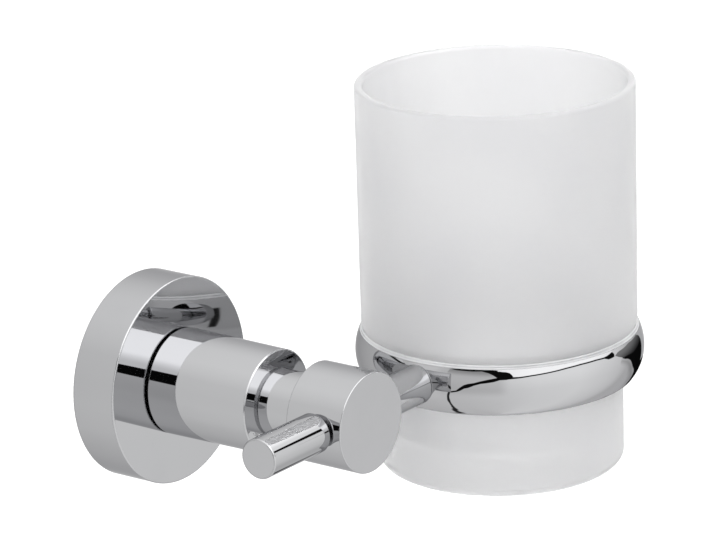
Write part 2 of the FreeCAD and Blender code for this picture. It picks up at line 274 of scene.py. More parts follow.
def linerPlastic(look):                            # a little light passes under its surface
    material, tree, shader, position = newMaterial("linerPlastic")
    marks = marksOf(tree, position, look)
    dress(tree, shader, {
        "Base Color": blendOf(tree, marks["Haze"], look["tint"], look["shade"]),
        "Roughness": plus(tree, look["roughness"], marks["Haze"], look["hazeRough"]),
        "Normal": bumpOf(tree, marks["Wipes"], look["wipeDepth"], look["wipeStrength"]),
        "IOR": look["index"], "Subsurface Weight": look["inner"],
        "Subsurface Radius": look["innerReach"], "Subsurface Scale": look["innerScale"]})
    return material


zincLook = {"light": (0.66, 0.67, 0.68), "dark": (0.50, 0.51, 0.52), "warm": (0.66, 0.63, 0.54),
            "warmShare": 0.35, "flakes": 700.0, "flakeSpan": (0.0, 0.9), "hazeSize": 0.011,
            "wipeSize": 0.0005, "roughness": 0.34, "flakeRough": 0.25, "wipeRough": 0.1,
            "flakeDepth": 0.00001, "flakeStrength": 0.5}


def zincPlate(look):                               # flakes, so many to a metre
    material, tree, shader, position = newMaterial("zincPlate")
    flake = put(tree, "ShaderNodeTexVoronoi", {"Vector": position,
                                               "Scale": look["flakes"]}).outputs["Distance"]
    marks = marksOf(tree, position, look)
    tint = blendOf(tree, ease(tree, flake, *look["flakeSpan"]), look["light"], look["dark"])
    warmth = times(tree, marks["Haze"], look["warmShare"])
    rough = plus(tree, look["roughness"], flake, look["flakeRough"])
    dress(tree, shader, {
        "Base Color": blendOf(tree, warmth, tint, look["warm"]),
        "Roughness": plus(tree, rough, marks["Wipes"], look["wipeRough"]),
        "Normal": bumpOf(tree, flake, look["flakeDepth"], look["flakeStrength"]),
        "Metallic": 1.0})
    return material


steelLook = {"light": (0.56, 0.56, 0.57), "dark": (0.36, 0.35, 0.35), "hazeSize": 0.004,
             "wipeSize": 0.0003, "turnScale": 0.05 / 0.00012, "turnBend": 0.6, "turnDetail": 2.0,
             "turnDepth": 0.000006, "turnStrength": 0.7, "roughness": 0.32, "hazeRough": 0.2}


def turnedSteel(look, axis):                       # fine lathe rings along the axis, darker patches
    material, tree, shader, position = newMaterial("turnedSteel" + axis)
    turns = put(tree, "ShaderNodeTexWave", {
        "Vector": position, "Scale": look["turnScale"], "Distortion": look["turnBend"],
        "Detail": look["turnDetail"]}, bands_direction=axis).outputs["Fac"]
    marks = marksOf(tree, position, look)
    dress(tree, shader, {
        "Base Color": blendOf(tree, marks["Haze"], look["light"], look["dark"]),
        "Roughness": plus(tree, look["roughness"], marks["Haze"], look["hazeRough"]),
        "Normal": bumpOf(tree, turns, look["turnDepth"], look["turnStrength"]),
        "Metallic": 1.0})
    return material


finishes = {"chrome": polishedChrome(chromeLook), "frosted_glass": frostedGlass(glassLook),
            "liner_plastic": linerPlastic(linerLook)}
zinc = zincPlate(zincLook)
steelAcross, steelOut, steelUp = (turnedSteel(steelLook, axis) for axis in "XYZ")
print("finishes made")


# How the edge value, which the rubbed edges use, is written: 1 on rounds smaller than sharpBelow and
# soft on larger ones; on long legs it falls from fading at the distance near to nothing at far.
edgeMark = {"sharpBelow": 1.5 * mm, "soft": 0.25, "near": 0.3 * mm, "far": 1.1 * mm, "fading": 0.55,
            "longLeg": 2.64 * mm}
arcStep = math.radians(9)                          # angle between the points of a round


# Outline of a turned piece in (radius, height). A stop is (radius, height, round): a round above 0
# puts an arc of that radius tangent to both legs, 0 keeps a sharp corner, and None marks a point on a
# curve, whose normal is the mean of its two legs' normals.
def outlineOf(stops, closed, mark=edgeMark):
    places = np.array([s[:2] for s in stops], float)
    count = len(stops)
    legs = np.roll(places, -1, 0) - places
    if not closed:
        legs[-1] = legs[-2]
    legs /= np.linalg.norm(legs, axis=1)[:, None]
    points, before, after, edge = [], [], [], []

    def add(point, normalIn, normalOut, value):
        points.append(point)
        before.append(normalIn)
        after.append(normalOut)
        edge.append(value)

    for i, stop in enumerate(stops):
        legIn = legs[i - 1] if closed or i else legs[0]
        legOut = legs[i]
        normalIn, normalOut = np.array((legIn[1], -legIn[0])), np.array((legOut[1], -legOut[0]))
        size = stop[2]
        if size is None or (not closed and i in (0, count - 1)):
            mean = normalIn + normalOut
            mean /= np.linalg.norm(mean)
            add(places[i], mean, mean, 0.0)
            continue
        if size == 0:
            add(places[i], normalIn, normalOut, 1.0)
            continue
        turn = math.atan2(legIn[0] * legOut[1] - legIn[1] * legOut[0], float(legIn @ legOut))
        reach = size * math.tan(abs(turn) / 2)
        side = 1 if turn > 0 else -1
        start = places[i] - legIn * reach
        middle = start - normalIn * size * side
        steps = max(4, int(abs(turn) / arcStep) + 1)
        first = math.atan2(normalIn[1], normalIn[0])
        for k in range(steps + 1):
            angle = first + turn * k / steps
            normal = np.array((math.cos(angle), math.sin(angle)))
            value = 1.0 if size < mark["sharpBelow"] else mark["soft"]
            add(middle + normal * size * side, normal, normal, value)
    points, before, after, edge = (np.array(v, float) for v in (points, before, after, edge))
    return fadeEnds(points, before, after, edge, closed, mark)


# Adds points on long legs at two distances from each end: their normal is that of the leg, and the
# edge value falls to nothing there.
def fadeEnds(points, before, after, edge, closed, mark):
    near, far = mark["near"], mark["far"]
    new = [[], [], [], []]
    last = len(points) if closed else len(points) - 1
    for i in range(len(points)):
        for row, value in zip(new, (points[i], before[i], after[i], edge[i])):
            row.append(value)
        if i == last:
            break
        j = (i + 1) % len(points)
        leg = points[j] - points[i]
        length = np.linalg.norm(leg)
        if length < mark["longLeg"]:
            continue
        for distance, value in ((near, mark["fading"]), (far, 0.0), (length - far, 0.0),
                                (length - near, mark["fading"])):
            blend = distance / length
            normal = after[i] * (1 - blend) + before[j] * blend
            normal /= np.linalg.norm(normal)
            ends = edge[i] if blend < 0.5 else edge[j]
            for row, v in zip(new, (points[i] + leg * blend, normal, normal, value * ends)):
                row.append(v)
    return [np.array(v) for v in new]


# Surface of revolution: point (i, j) is the outline's point i turned by angle j about the local Z
# axis. Corners of each face carry the outline's own normal, turned by the same angle. A round hole
# may pierce two walls.
def turnedGrid(outline, closed, turns, hole=None):
    points, before, after, edge = outline
    angles = np.arange(turns) * 2 * math.pi / turns
    ring = np.stack((np.cos(angles), np.sin(angles)), 1)
    count = len(points)

    def turned(values, columns):                   # (radial, height) rows turned by each column's angle
        radial = values[:, None, :1] * ring[None, columns]
        return np.concatenate((radial, np.repeat(values[:, None, 1:], turns, 1)), 2)

    colA, colB = np.arange(turns), (np.arange(turns) + 1) % turns
    flat = turned(points, colA).reshape(-1, 3)
    index = np.arange(count * turns).reshape(count, turns)
    for row in (0, count - 1):                     # a stop on the axis is one shared point
        if not closed and points[row, 0] < 1e-9:
            index[row] = index[row, 0]
    rowA = np.arange(count if closed else count - 1)
    rowB = (rowA + 1) % count
    quads = np.stack((index[rowA][:, colA], index[rowA][:, colB],
                      index[rowB][:, colB], index[rowB][:, colA]), 2)
    normals = np.stack((turned(after[rowA], colA), turned(after[rowA], colB),
                        turned(before[rowB], colB), turned(before[rowB], colA)), 2)
    keep = np.ones(quads.shape[:2], bool)
    edge = np.repeat(edge, turns)
    extra = []
    if hole:
        extra, flat, edge = piercedWall(hole, points, index, flat, edge, keep, turns)
    quads = np.concatenate([quads[keep]] + [faces for faces, _ in extra])
    normals = np.concatenate([normals[keep]] + [directions for _, directions in extra])
    return flat, quads, normals, edge


# A round hole through two coaxial walls. On each wall a block of faces is left out and filled by
# loops that go evenly from the block's border to the hole's circle, in (angle, height) on the wall's
# cylinder; the tunnel joins the two circles with faces that look at the hole's axis.
def piercedWall(hole, points, index, flat, edge, keep, turns):
    faces, circles, rims = [], [], []
    mid = math.radians(hole["angle"])
    centre = int(round(hole["angle"] / 360 * turns)) % turns
    columns = np.arange(centre - hole["half"], centre + hole["half"] + 1) % turns
    spin = np.arange(-hole["half"], hole["half"] + 1) * 2 * math.pi / turns
    for wall in hole["walls"]:
        rows = np.flatnonzero((abs(points[:, 0] - wall) < 1e-6) & (points[:, 1] > hole["low"] - 1e-7)
                              & (points[:, 1] < hole["high"] + 1e-7))
        for row in rows[:-1]:
            keep[row, columns[:-1]] = False
        heights = points[rows, 1]
        n, m = len(rows), len(columns)             # the border once round, as (row, column)
        loop = [(rows[0], k) for k in range(m - 1)] + [(rows[k], m - 1) for k in range(n - 1)]
        loop += [(rows[-1], m - 1 - k) for k in range(m - 1)]
        loop += [(rows[n - 1 - k], 0) for k in range(n - 1)]
        border = np.array([index[row, columns[k]] for row, k in loop])
        borderSpin = np.array([spin[k] for row, k in loop])
        borderHeight = np.array([points[row, 1] for row, k in loop])
        if heights[0] > heights[-1]:               # both walls are walked the same way round
            border, borderSpin, borderHeight = border[::-1], borderSpin[::-1], borderHeight[::-1]
            start = np.lexsort((borderSpin, borderHeight))[0]
            border, borderSpin, borderHeight = (np.roll(v, -start) for v in
                                                (border, borderSpin, borderHeight))
        around = np.arctan2(borderHeight - hole["height"], wall * borderSpin)
        circleSpin = np.arcsin(hole["radius"] * np.cos(around) / wall)
        circleHeight = hole["height"] + hole["radius"] * np.sin(around)
        side = 1.0 if wall == max(hole["walls"]) else -1.0
        previous, previousNormal = border, cylinderNormals(mid + borderSpin, side)
        for k in range(1, hole["loops"] + 1):
            share = (k / hole["loops"]) ** hole["crowd"]
            s = borderSpin * (1 - share) + circleSpin * share
            h = borderHeight * (1 - share) + circleHeight * share
            new = np.stack((wall * np.cos(mid + s), wall * np.sin(mid + s), h), 1)
            newIndex = len(flat) + np.arange(len(new))
            newNormal = cylinderNormals(mid + s, side)
            flat = np.concatenate((flat, new))
            edge = np.concatenate((edge, np.full(len(new), 1.0 if k == hole["loops"] else 0.0)))
            faces.append(strip(previous, newIndex, previousNormal, newNormal))
            previous, previousNormal = newIndex, newNormal
        circles.append(previous)
        rims.append(around)
    sideways = np.array((-math.sin(mid), math.cos(mid), 0))
    inward = -(np.cos(rims[0])[:, None] * sideways + np.sin(rims[0])[:, None] * np.array((0, 0, 1)))
    faces.append(strip(circles[0], circles[1], inward, inward))
    return faces, flat, edge


def cylinderNormals(angle, sign):                  # unit vectors away from the axis, or towards it
    return np.stack((np.cos(angle), np.sin(angle), np.zeros_like(angle)), 1) * sign


def strip(first, second, firstNormal, secondNormal):     # closed band of quads between two loops
    quads = np.stack((first, np.roll(first, -1), np.roll(second, -1), second), 1)
    normals = np.stack((firstNormal, np.roll(firstNormal, -1, 0),
                        np.roll(secondNormal, -1, 0), secondNormal), 1)
    return quads, normals


# Mesh from arrays: faces whose corner order disagrees with their normals are turned over, and a face
# with a corner used twice becomes a triangle.
def meshFrom(name, flat, quads, normals, edge, material):
    a, b, c, d = (flat[quads[:, k]] for k in range(4))
    wrong = (np.cross(c - a, d - b) * normals.sum(1)).sum(1) < 0
    quads[wrong], normals[wrong] = quads[wrong][:, ::-1], normals[wrong][:, ::-1]
    use = quads != np.roll(quads, -1, 1)
    sizes = use.sum(1)
    used = np.unique(quads)
    renumber = np.zeros(len(flat), int)
    renumber[used] = np.arange(len(used))
    corners = renumber[quads[use]]
    starts = np.concatenate(([0], np.cumsum(sizes)[:-1]))
    mesh = bpy.data.meshes.new(name)
    mesh.vertices.add(len(used))
    mesh.vertices.foreach_set("co", flat[used].astype(np.float32).ravel())
    mesh.loops.add(len(corners))
    mesh.loops.foreach_set("vertex_index", corners.astype(np.int32))
    mesh.polygons.add(len(sizes))
    mesh.polygons.foreach_set("loop_start", starts.astype(np.int32))
    mesh.polygons.foreach_set("loop_total", sizes.astype(np.int32))
    mesh.polygons.foreach_set("use_smooth", np.ones(len(sizes), bool))
    mesh.update(calc_edges=True)
    mesh.validate()
    edges = mesh.attributes.new("edge", "FLOAT", "POINT")
    edges.data.foreach_set("value", edge[used].astype(np.float32))
    mesh.normals_split_custom_set([tuple(n) for n in normals[use]])
    mesh.materials.append(material)
    piece = bpy.data.objects.new(name, mesh)
    bpy.context.scene.collection.objects.link(piece)
    return piece


# Frames of the three axes: columns are where the local X, Y and Z point, and the shift is the local
# origin.
barOut = 62.35 * mm
upright = (np.eye(3), np.array((62.65 * mm, -barOut, 0)))
outward = (np.array(((1, 0, 0), (0, 0, -1), (0, 1, 0)), float), np.zeros(3))
across = (np.array(((0, 0, 1), (1, 0, 0), (0, 1, 0)), float), np.array((0, -barOut, 0)))


# Turned piece: outline in millimetres, surface of revolution, then turned and moved into its place.
def turnedPiece(name, node, body, slot, place, stops, closed, turns, hole=None):
    outline = outlineOf([(r * mm, h * mm, s if not s else s * mm) for r, h, s in stops], closed)
    flat, quads, normals, edge = turnedGrid(outline, closed, turns, hole)
    turn, shift = place
    piece = meshFrom(name, flat @ turn.T + shift, quads, normals @ turn.T, edge, finishes[slot])
    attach(piece, body)
    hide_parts(node)
    print("made", name, len(piece.data.polygons), "faces")
    return piece


# Lengths of the pieces are in millimetres. The edges of bores and other hidden edges share a round.
hidden = 0.05

rosette = {"radius": 25.4, "depth": 12.3, "wall": 3.0, "face": 2.5, "edgeRound": 0.4,
           "backRound": 0.4, "innerRound": 0.15, "bore": 3.3, "boreRound": 0.1, "grubAngle": 270,
           "grubHeight": 5.4, "grubHole": 2.05, "holeReach": 2.8, "holeRows": 9, "holeHalf": 5,
           "turns": 256}


def rosetteCover(d):                               # pierced from below for the grub screw
    inside, floor = d["radius"] - d["wall"], d["depth"] - d["face"]
    low, high = d["grubHeight"] - d["holeReach"], d["grubHeight"] + d["holeReach"]
    rows = np.linspace(low, high, d["holeRows"])
    stops = [(d["bore"], floor, d["boreRound"]), (inside, floor, d["edgeRound"])]
    stops += [(inside, h, None) for h in rows[::-1]]
    stops += [(inside, 0, d["innerRound"]), (d["radius"], 0, d["backRound"])]
    stops += [(d["radius"], h, None) for h in rows]
    stops += [(d["radius"], d["depth"], d["edgeRound"]), (d["bore"], d["depth"], d["boreRound"])]
    hole = {"angle": d["grubAngle"], "half": d["holeHalf"], "height": d["grubHeight"] * mm,
            "radius": d["grubHole"] * mm, "walls": (d["radius"] * mm, inside * mm),
            "low": low * mm, "high": high * mm, "loops": 4, "crowd": 0.8}
    turnedPiece("rosetteCover", "rosette", "holder", "chrome", outward, stops, True, d["turns"], hole)


rosetteCover(rosette)

post = {"start": 12.3, "end": 41.85, "backRadius": 13.05, "frontRadius": 12.75, "backBevel": 0.15,
        "frontBevel": 0.28, "grooveDepth": 2.2, "grooveWidth": 0.58, "soften": 0.06, "bore": 3.05,
        "screwEnd": 24.7, "studStart": 31.35, "turns": 192}


def postBody(d):                                   # a shadow groove parts the post from the rosette
    soft, step = d["soften"], d["start"] + d["grooveWidth"]
    grooveFloor = d["backRadius"] - d["grooveDepth"]
    stops = [(0, d["screwEnd"], 0), (d["bore"], d["screwEnd"], hidden),
             (d["bore"], d["start"], hidden), (grooveFloor, d["start"], hidden),
             (grooveFloor, step, hidden), (d["backRadius"] - d["backBevel"], step, soft),
             (d["backRadius"], step + d["backBevel"], soft),
             (d["frontRadius"], d["end"] - d["frontBevel"], soft),
             (d["frontRadius"] - d["frontBevel"], d["end"], soft), (d["bore"], d["end"], hidden),
             (d["bore"], d["studStart"], hidden), (0, d["studStart"], 0)]
    turnedPiece("postBody", "post", "holder", "chrome", outward, stops, False, d["turns"])


postBody(post)

neck = {"start": 41.85, "end": 53.85, "radius": 8.2, "bevel": 0.6, "soften": 0.06, "bore": 3.3,
        "turns": 160}


def neckSleeve(d):
    stops = [(d["bore"], d["start"], hidden), (d["radius"] - d["bevel"], d["start"], d["soften"]),
             (d["radius"], d["start"] + d["bevel"], d["soften"]), (d["radius"], d["end"], hidden),
             (d["bore"], d["end"], hidden)]
    turnedPiece("neckSleeve", "neck", "holder", "chrome", outward, stops, True, d["turns"])


neckSleeve(neck)

head = {"start": 53.85, "end": 69.55, "radius": 12.15, "frontRound": 0.25, "backRound": 0.2,
        "bore": 3.05, "boreEnd": 58.6, "turns": 192}


def headBody(d):
    stops = [(0, d["boreEnd"], 0), (d["bore"], d["boreEnd"], hidden),
             (d["bore"], d["start"], hidden), (d["radius"], d["start"], d["backRound"]),
             (d["radius"], d["end"], d["frontRound"]), (0, d["end"], 0)]
    turnedPiece("headBody", "head", "holder", "chrome", outward, stops, False, d["turns"])


headBody(head)

bar = {"radius": 4.85, "seat": 12.2, "seatRound": 0.2, "collar": 3.2, "collarGap": 0.55,
       "collarRound": 0.03, "pegEnd": 33.65, "endRound": 0.4, "armEnd": 27.2, "armEndRound": 0.25,
       "bore": 2.55, "pegBoreEnd": 22.65, "armBores": (18.55, 19.75), "turns": 128}

saddle = {"centre": 62.65, "upper": (23.23, 12.17), "lower": (24.70, 10.70), "gap": 0.12,
          "reach": 3.0}


# Stretches the arm's end against the ring: over the last few millimetres every point moves along X
# in proportion to its way, up to the ring's surface. The ring's section there is an arc about
# (middle, 0) of radius size, so its surface lies at
# x = centre - sqrt((middle + sqrt(size^2 - z^2))^2 - y^2).
def fitArm(piece, d, end):
    spots = np.empty(len(piece.data.vertices) * 3, np.float32)
    piece.data.vertices.foreach_get("co", spots)
    x, y, z = spots.reshape(-1, 3).astype(float).T / mm
    y = y + barOut / mm
    middle, size = (np.where(z > 0, d["upper"][k], d["lower"][k]) for k in (0, 1))
    surface = d["centre"] - np.sqrt((middle + np.sqrt(size ** 2 - z ** 2)) ** 2 - y ** 2) - d["gap"]
    way = np.clip((x - end + d["reach"]) / d["reach"], 0, 1)
    spots.reshape(-1, 3)[:, 0] = (x + way * (surface - end)) * mm
    piece.data.vertices.foreach_set("co", spots)
    piece.data.update()


def barPieces(d):                                  # both stand on a thin collar at the head
    r, bore, seat, collar, fine = d["radius"], d["bore"], d["seat"], d["collar"], d["collarRound"]
    step = seat + d["collarGap"]
    peg = [(0, -d["pegEnd"], 0), (r, -d["pegEnd"], d["endRound"]), (r, -step, d["seatRound"]),
           (collar, -step, fine), (collar, -seat, fine), (bore, -seat, hidden),
           (bore, -d["pegBoreEnd"], hidden), (0, -d["pegBoreEnd"], 0)]
    turnedPiece("pegBar", "peg", "holder", "chrome", across, peg, False, d["turns"])
    inner, outer = d["armBores"]
    arm = [(0, inner, 0), (bore, inner, hidden), (bore, seat, hidden), (collar, seat, fine),
           (collar, step, fine), (r, step, d["seatRound"]), (r, d["armEnd"], d["armEndRound"]),
           (bore, d["armEnd"], hidden), (bore, outer, hidden), (0, outer, 0)]
    piece = turnedPiece("armBar", "arm", "holder", "chrome", across, arm, False, d["turns"])
    fitArm(piece, saddle, d["armEnd"])


barPieces(bar)

shoulder = {"radius": 33.8, "corner": 4.8, "slope": 60.0, "round": 5.6}


# The shoulder moved outwards by an offset: its straight slope runs to the corner of slope and upright
# wall, and an arc of the round plus the offset is tangent to both. Gives the slope's height at a
# radius, and arc points from a height down to where the slope begins.
def slopeHeight(radius, offset, d=shoulder):
    slope = math.radians(d["slope"])
    rise = offset * math.tan(math.pi / 2 - slope) + (d["radius"] + offset - radius) / math.tan(slope)
    return d["corner"] - rise


def shoulderArc(top, offset, count, d=shoulder):
    slope = math.radians(d["slope"])
    arc = d["round"] + offset
    middleHeight = slopeHeight(d["radius"] + offset, offset) + arc * math.tan(slope / 2)
    middleRadius = d["radius"] + offset - arc
    first = math.asin((top - middleHeight) / arc)
    angles = np.linspace(first, -slope, count)
    return [(middleRadius + arc * math.cos(a), middleHeight + arc * math.sin(a), None) for a in angles]


ring = {"bore": 31.15, "crown": 35.4, "below": 6.8, "above": 5.2, "underside": 1.81, "land": 0.35,
        "lowerRound": 0.8, "innerRound": 0.4, "lipRound": 0.1, "offset": 0.75,
        "points": (26, 20, 10), "turns": 320}


# Arc from the ring's widest line to an edge further in: its radius is
# (inset^2 + height^2) / (2 * inset), so that it stands upright at the widest line.
def bulge(edgeRadius, height, count, d=ring):
    inset = d["crown"] - edgeRadius
    size = (inset ** 2 + height ** 2) / (2 * inset)
    angles = np.linspace(0, math.asin(height / size), count)
    return [(d["crown"] - size + size * math.cos(a), size * math.sin(a), None) for a in angles]


def ringBody(d):                                   # points: on the arcs below, above and inside
    below, above, within = d["points"]
    inner = shoulderArc(d["above"], d["offset"], within)
    landInside = inner[0][0]
    landOutside = landInside + d["land"]
    lower = bulge(d["bore"] + d["underside"], -d["below"], below)[::-1]
    upper = bulge(landOutside, d["above"], above)
    stops = [(d["bore"], -d["below"], d["innerRound"]), (*lower[0][:2], d["lowerRound"])]
    stops += lower[1:] + upper[1:-1]
    stops += [(landOutside, d["above"], hidden), (landInside, d["above"], hidden)] + inner[1:]
    stops += [(d["bore"], slopeHeight(d["bore"], d["offset"]), d["lipRound"])]
    turnedPiece("ringBody", "ring", "holder", "chrome", upright, stops, True, d["turns"])


ringBody(ring)

liner = {"inner": 30.5, "outer": 31.1, "below": 5.6, "lip": 0.9, "inset": 0.06, "tip": 0.09,
         "seatGap": 0.1, "wall": 0.6, "bead": 0.42, "groove": 0.22, "grooveDepth": 0.3,
         "round": 0.1, "beadRound": 0.08, "innerRound": 0.02, "points": 8, "turns": 256}


def linerSleeve(d):
    far = d["seatGap"] + d["wall"]
    top = ring["above"] + d["lip"]
    landOutside = shoulderArc(ring["above"], ring["offset"], 2)[0][0] + ring["land"]
    outside = shoulderArc(ring["above"], far, d["points"])
    inside = shoulderArc(top, d["seatGap"], d["points"])
    stops = [(d["inner"], -d["below"], d["round"]), (d["outer"], -d["below"], d["round"]),
             (d["outer"], slopeHeight(d["outer"], far), d["round"])]
    foot = np.array((landOutside - d["inset"], ring["above"]))
    tip = np.array((inside[0][0] + d["tip"], top))
    stops += outside[:0:-1] + [(*outside[0][:2], 0), (*foot, hidden)]
    rise = (tip - foot) / np.linalg.norm(tip - foot)
    inward = np.array((-rise[1], rise[0])) * d["grooveDepth"]
    grooveEnd = tip - rise * d["bead"]             # a fine groove sets off a bead along the glass
    grooveStart = grooveEnd - rise * d["groove"]
    stops += [(*spot, 0) for spot in (grooveStart, grooveStart + inward, grooveEnd + inward)]
    stops += [(*grooveEnd, d["beadRound"]), (*tip, d["beadRound"])]
    stops += [(*inside[0][:2], d["innerRound"])] + inside[1:]
    stops += [(d["inner"], slopeHeight(d["inner"], d["seatGap"]), d["round"])]
    turnedPiece("linerSleeve", "ring_liner", "holder", "liner_plastic", upright, stops, True,
                d["turns"])


linerSleeve(liner)

tumbler = {"rimRadius": 33.9, "lower": 30.15, "top": 67.15, "below": 29.05, "footRound": 2.5,
           "waistRound": 0.8, "rimWall": 2.0, "upperWall": 2.2, "shoulderWall": 2.4,
           "lowerWall": 2.9, "base": 8.4, "innerShoulderRound": 4.0, "innerWaistRound": 2.0,
           "floorRound": 4.0, "puntDepth": 0.8, "puntRadius": 24.05, "puntRound": 0.5,
           "puntInnerRound": 0.3, "rimRound": 0.9, "turns": 256}


def tumblerGlass(d):                               # shallow hollow (punt) under a thick base
    bottom = -d["below"]
    floor, puntTop = bottom + d["base"], bottom + d["puntDepth"]
    upper, lower = shoulder["radius"] - d["upperWall"], d["lower"] - d["lowerWall"]
    upperFoot, lowerTop = (slopeHeight(radius, -d["shoulderWall"]) for radius in (upper, lower))
    stops = [(0, puntTop, 0), (d["puntRadius"], puntTop, d["puntInnerRound"]),
             (d["puntRadius"] + d["puntDepth"], bottom, d["puntRound"]),
             (d["lower"], bottom, d["footRound"]),
             (d["lower"], slopeHeight(d["lower"], 0), d["waistRound"]),
             (shoulder["radius"], shoulder["corner"], shoulder["round"]),
             (d["rimRadius"], d["top"], d["rimRound"]),
             (d["rimRadius"] - d["rimWall"], d["top"], d["rimRound"]),
             (upper, upperFoot, d["innerShoulderRound"]), (lower, lowerTop, d["innerWaistRound"]),
             (lower, floor, d["floorRound"]), (0, floor, 0)]
    turnedPiece("tumblerGlass", "tumbler", "glass", "frosted_glass", upright, stops, False,
                d["turns"])


tumblerGlass(tumbler)

for node, material in {"wall_bracket": zinc, "rosette_grub_screw": steelUp, "lock_washer": steelOut,
                       "post_screw": steelOut, "neck_stud": steelOut, "cross_stud": steelAcross,
                       "ring_screw": steelAcross}.items():
    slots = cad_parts[node].data.materials
    slots.clear()
    slots.append(material)
print("inner fittings finished")


# The studio: pale floor, soft lamps, and the light tent that the polished pieces mirror. The lift is
# the light that the floor gives off to the eye, and the plain level what lights unpolished surfaces.
studio = {"floorHeight": -0.30, "floorSize": 14.0, "floorColour": (0.80, 0.80, 0.80),
          "floorRough": 0.9, "floorLift": 0.34, "plainLevel": 0.84, "lampAim": (0.03, -0.04, 0.02)}

lamps = [   # name, place, size, watts
    ("keyLamp", (1.7, -0.6, 1.3), 1.1, 16.0),
    ("fillLamp", (-1.6, -0.1, 0.9), 1.2, 10.0),
    ("backLamp", (0.4, 1.2, 1.5), 1.2, 5.0),
]


def addLamps(rows, aim):
    for name, place, size, watts in rows:
        light = bpy.data.lights.new(name, "AREA")
        light.energy, light.size, light.shape = watts, size, "DISK"
        lamp = bpy.data.objects.new(name, light)
        lamp.location = place
        lamp.rotation_mode = "QUATERNION"
        lamp.rotation_quaternion = (Vector(aim) - Vector(place)).to_track_quat("-Z", "Y")
        lamp.visible_camera = lamp.visible_glossy = lamp.visible_transmission = False
        bpy.context.scene.collection.objects.link(lamp)


addLamps(lamps, studio["lampAim"])


def addFloor(d):
    material = bpy.data.materials.new("paleFloor")
    material.use_nodes = True
    tree = material.node_tree
    path = put(tree, "ShaderNodeLightPath").outputs
    mirrored = calc(tree, "MAXIMUM", path["Is Glossy Ray"], path["Is Transmission Ray"])
    seen = calc(tree, "MAXIMUM", path["Is Camera Ray"], mirrored)
    dress(tree, tree.nodes["Principled BSDF"], {
        "Base Color": (*d["floorColour"], 1), "Roughness": d["floorRough"],
        "Specular IOR Level": 0.0, "Emission Color": (1, 1, 1, 1),
        "Emission Strength": times(tree, seen, d["floorLift"])})
    half, z = d["floorSize"] / 2, d["floorHeight"]
    corners = [(-half, -half, z), (half, -half, z), (half, half, z), (-half, half, z)]
    mesh = bpy.data.meshes.new("paleFloor")
    mesh.from_pydata(corners, [], [(0, 1, 2, 3)])
    mesh.materials.append(material)
    floor = bpy.data.objects.new("paleFloor", mesh)
    bpy.context.scene.collection.objects.link(floor)
    floor.visible_glossy = False


addFloor(studio)

# The tent. Azimuth 0 is out into the room and 90 is +X, in degrees. First come its plain parts:
# (angle, level) rows, sheetEdge as (azimuth, lowest elevation) of the white sheet in front, windows
# as (from, to, softness), and steps as (from, to), some with the levels before and after them.
tentParts = {
    "around": [(-130, 0.86), (-98, 0.86), (-88, 0.88), (-78, 0.9), (-66, 0.93), (-55, 0.96),
               (-24, 1.08), (10, 1.12), (41, 1), (54, 0.93), (66, 0.76), (76, 0.8), (88, 0.88),
               (130, 0.9)],
    "rise": [(-90, 0.92), (-50, 0.93), (-17, 0.97), (5, 1.08), (20, 1.1), (90, 1.1)],
    "behind": [(-90, 0.68), (-50, 0.78), (-40, 0.84), (-20, 0.87), (0, 0.86), (25, 0.89),
               (38, 0.98), (50, 1.05), (90, 1.05)],
    "behindFrom": (0.12, 0.45),                    # steps of the ray's Y, not of an angle
    "behindDim": (0.55, 0.72, 1, 0.78),
    "leftAzimuth": (-108, -52, 6), "leftElevation": (-25, 30, 12), "leftDim": 0.80,
    "sheetLevel": [(-62, 2.3), (-30, 2.6), (25, 2.6), (45, 2.2), (56, 2.0), (75, 1.9), (86, 1.5),
                   (90, 1.2)],
    "sheetEdge": [(-62, 27), (-58, 24), (-54, 16), (-47, 12), (-30, 14), (-15, 15.3), (0, 16.6),
                  (13, 15.8), (28, 12.7), (36, 9.7), (40, 8), (47, 8), (48, 17), (53, 19),
                  (55, 12), (88, 12)],
    "sheetAzimuth": (-62, 88, 2), "sheetBorder": (-0.8, 0.8), "sheetDim": (28, 46, 0.62, 1),
    "top": (56, 64), "topLevel": 1.45,
    "overElevation": (42, 60, 4), "overAzimuth": (92, 84), "overLevel": (-72, -58, 1.5, 2.6),
    "patchLevel": (12, 26, 0.76, 0.42), "shadeDim": 0.6, "cardLevel": (-12, 4, 0.02, 0.30),
    "backAzimuth": (-160, -152, 1.5), "backElevation": (-40, 8, 2),
    "black": 0.006, "dark": 0.03,
}

